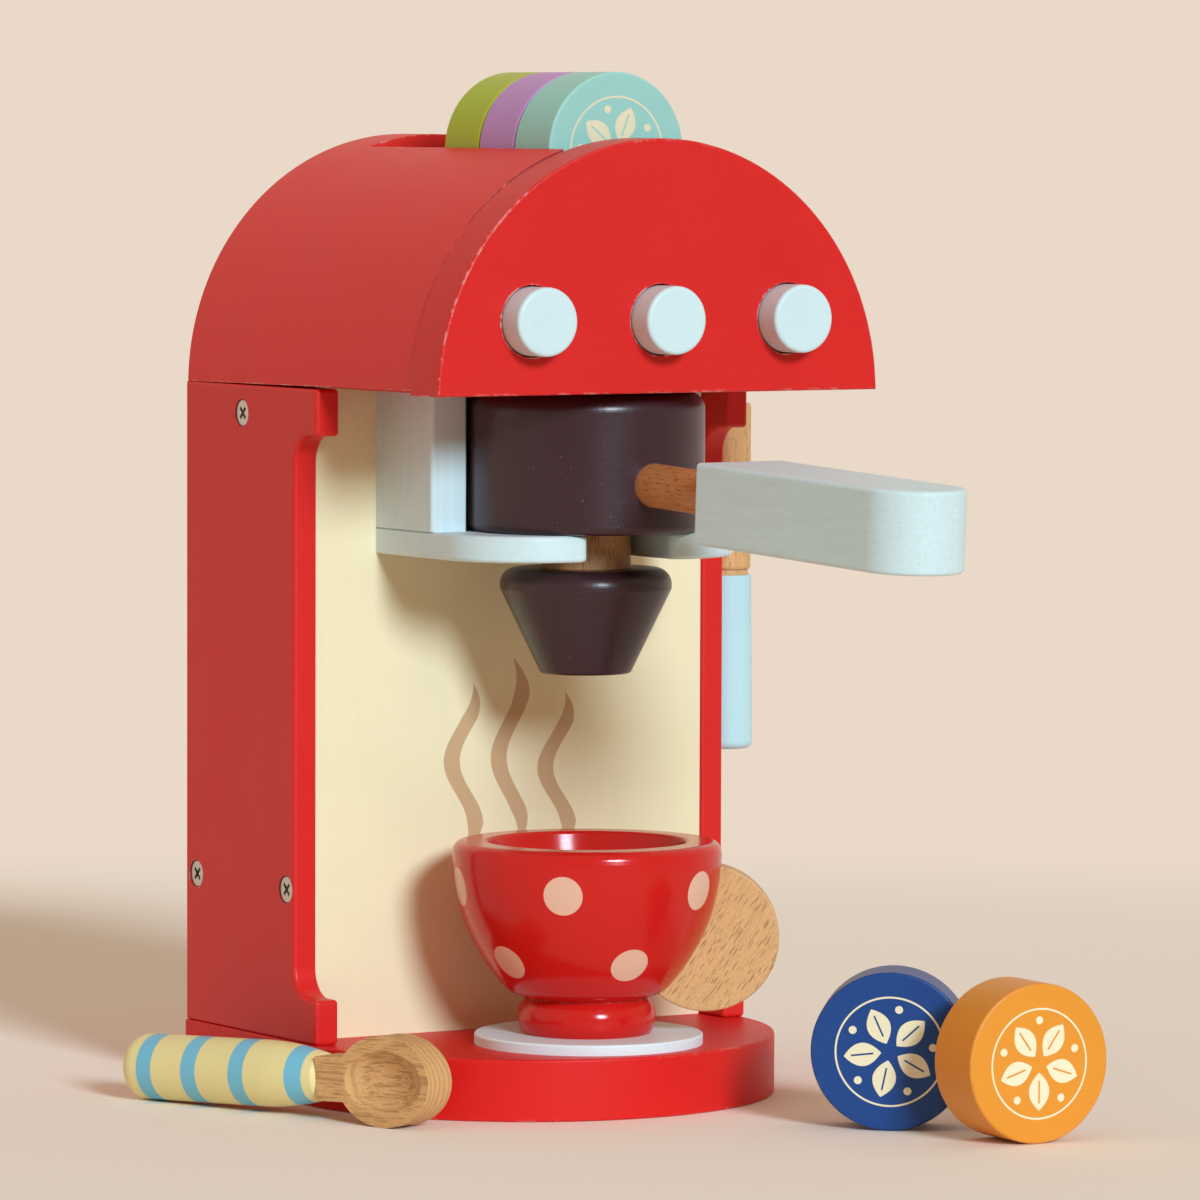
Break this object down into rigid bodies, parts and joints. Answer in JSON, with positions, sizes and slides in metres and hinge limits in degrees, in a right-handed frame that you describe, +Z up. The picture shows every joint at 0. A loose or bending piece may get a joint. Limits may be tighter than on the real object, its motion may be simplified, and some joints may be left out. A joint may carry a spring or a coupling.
{
  "type": "toy coffee maker",
  "caption": "Painted wooden toy coffee machine with an arched head, push buttons, sliding filter holder, swinging wand, coffee pods, cup and spoon.",
  "frame": {"origin": "middle of the base board's underside, which is the centre of its round front", "axes": "+Z up, -Y towards the front with the buttons, +X to the right seen from the front"},
  "size_m": [0.1741, 0.2351, 0.252],
  "materials": {
    "red_paint": "satin red paint on wood",
    "cream_paint": "satin cream paint on wood, with a printed steam motif",
    "pale_blue_paint": "satin pale blue paint on wood",
    "brown_paint": "semi-gloss dark brown paint on wood",
    "white_paint": "satin bluish white paint on wood",
    "cup_paint": "gloss red paint with peach dots on wood",
    "spoon_paint": "satin cream paint with light blue bands on wood",
    "green_paint": "satin olive green paint on wood",
    "lilac_paint": "satin lilac paint on wood",
    "mint_paint": "satin mint paint with a cream print on wood",
    "blue_paint": "satin deep blue paint with a cream print on wood",
    "orange_paint": "satin orange paint with a cream print on wood",
    "beech": "bare sanded beech",
    "steel": "zinc plated steel",
    "spring_steel": "bright drawn wire"
  },
  "bodies": {
    "machine": {"base_board": "red_paint", "left_side_panel": "red_paint", "right_side_panel": "red_paint", "back_board": "cream_paint", "rear_panel": "red_paint", "top_board": "red_paint", "head_floor": "red_paint", "roof_shell": "red_paint", "front_plate": "red_paint", "head_rear_plate": "red_paint", "pod_tray": "red_paint", "button_housing": "beech", "front_plate_dowels": "beech", "holder_block_left": "pale_blue_paint", "holder_block_right": "pale_blue_paint", "holder_fork": "pale_blue_paint", "drip_disc": "white_paint", "left_side_screws": "steel", "right_side_screws": "steel", "base_screws": "steel", "head_screws": "steel", "holder_screws": "steel", "wand_washer": "steel", "button_spring_left": "spring_steel", "button_spring_middle": "spring_steel", "button_spring_right": "spring_steel"},
    "button_left_body": {"button_left": "pale_blue_paint"},
    "button_middle_body": {"button_middle": "pale_blue_paint"},
    "button_right_body": {"button_right": "pale_blue_paint"},
    "filter_holder": {"filter_drum": "brown_paint", "neck_dowel": "beech", "spout_cone": "brown_paint", "handle_dowel": "beech", "handle_grip": "pale_blue_paint"},
    "wand": {"wand_arm": "beech", "wand_nozzle": "pale_blue_paint", "wand_pivot_screw": "steel"},
    "cup_body": {"cup": "cup_paint", "cup_handle": "beech"},
    "pod_green_body": {"pod_green": "green_paint"},
    "pod_lilac_body": {"pod_lilac": "lilac_paint"},
    "pod_mint_body": {"pod_mint": "mint_paint"},
    "pod_blue_body": {"pod_blue": "blue_paint"},
    "pod_orange_body": {"pod_orange": "orange_paint"},
    "spoon": {"spoon_handle": "spoon_paint", "spoon_bowl": "beech"}
  },
  "joints": [
    {"name": "button_left_press", "type": "slide", "parent": "machine", "child": "button_left_body", "axis": [0, 1, 0], "range_m": [0, 0.0045], "stiffness_N_per_m": 200, "deforming": ["button_spring_left"]},
    {"name": "button_middle_press", "type": "slide", "parent": "machine", "child": "button_middle_body", "axis": [0, 1, 0], "range_m": [0, 0.0045], "stiffness_N_per_m": 200, "deforming": ["button_spring_middle"]},
    {"name": "button_right_press", "type": "slide", "parent": "machine", "child": "button_right_body", "axis": [0, 1, 0], "range_m": [0, 0.0045], "stiffness_N_per_m": 200, "deforming": ["button_spring_right"]},
    {"name": "filter_holder_slide", "type": "slide", "parent": "machine", "child": "filter_holder", "axis": [0, -1, 0], "range_m": [0, 0.06]},
    {"name": "wand_swing", "type": "hinge", "parent": "machine", "child": "wand", "pos_m": [0.0635, 0.019, 0.153], "axis": [1, 0, 0], "range_deg": [-90, 90]},
    {"name": "pod_mint_lift", "type": "slide", "parent": "machine", "child": "pod_mint_body", "axis": [0, 0, 1], "range_m": [0, 0.04]},
    {"name": "pod_lilac_lift", "type": "slide", "parent": "machine", "child": "pod_lilac_body", "axis": [0, 0, 1], "range_m": [0, 0.04]},
    {"name": "pod_green_lift", "type": "slide", "parent": "machine", "child": "pod_green_body", "axis": [0, 0, 1], "range_m": [0, 0.04]},
    {"name": "cup_lift", "type": "slide", "parent": "machine", "child": "cup_body", "axis": [0, 0, 1], "range_m": [0, 0.035]},
    {"name": "spoon_lift", "type": "slide", "parent": "machine", "child": "spoon", "axis": [0, 0, 1], "range_m": [0, 0.05]},
    {"name": "pod_blue_lift", "type": "slide", "parent": "machine", "child": "pod_blue_body", "axis": [0, 0, 1], "range_m": [0, 0.05]},
    {"name": "pod_orange_lift", "type": "slide", "parent": "machine", "child": "pod_orange_body", "axis": [0, 0, 1], "range_m": [0, 0.05]}
  ]
}
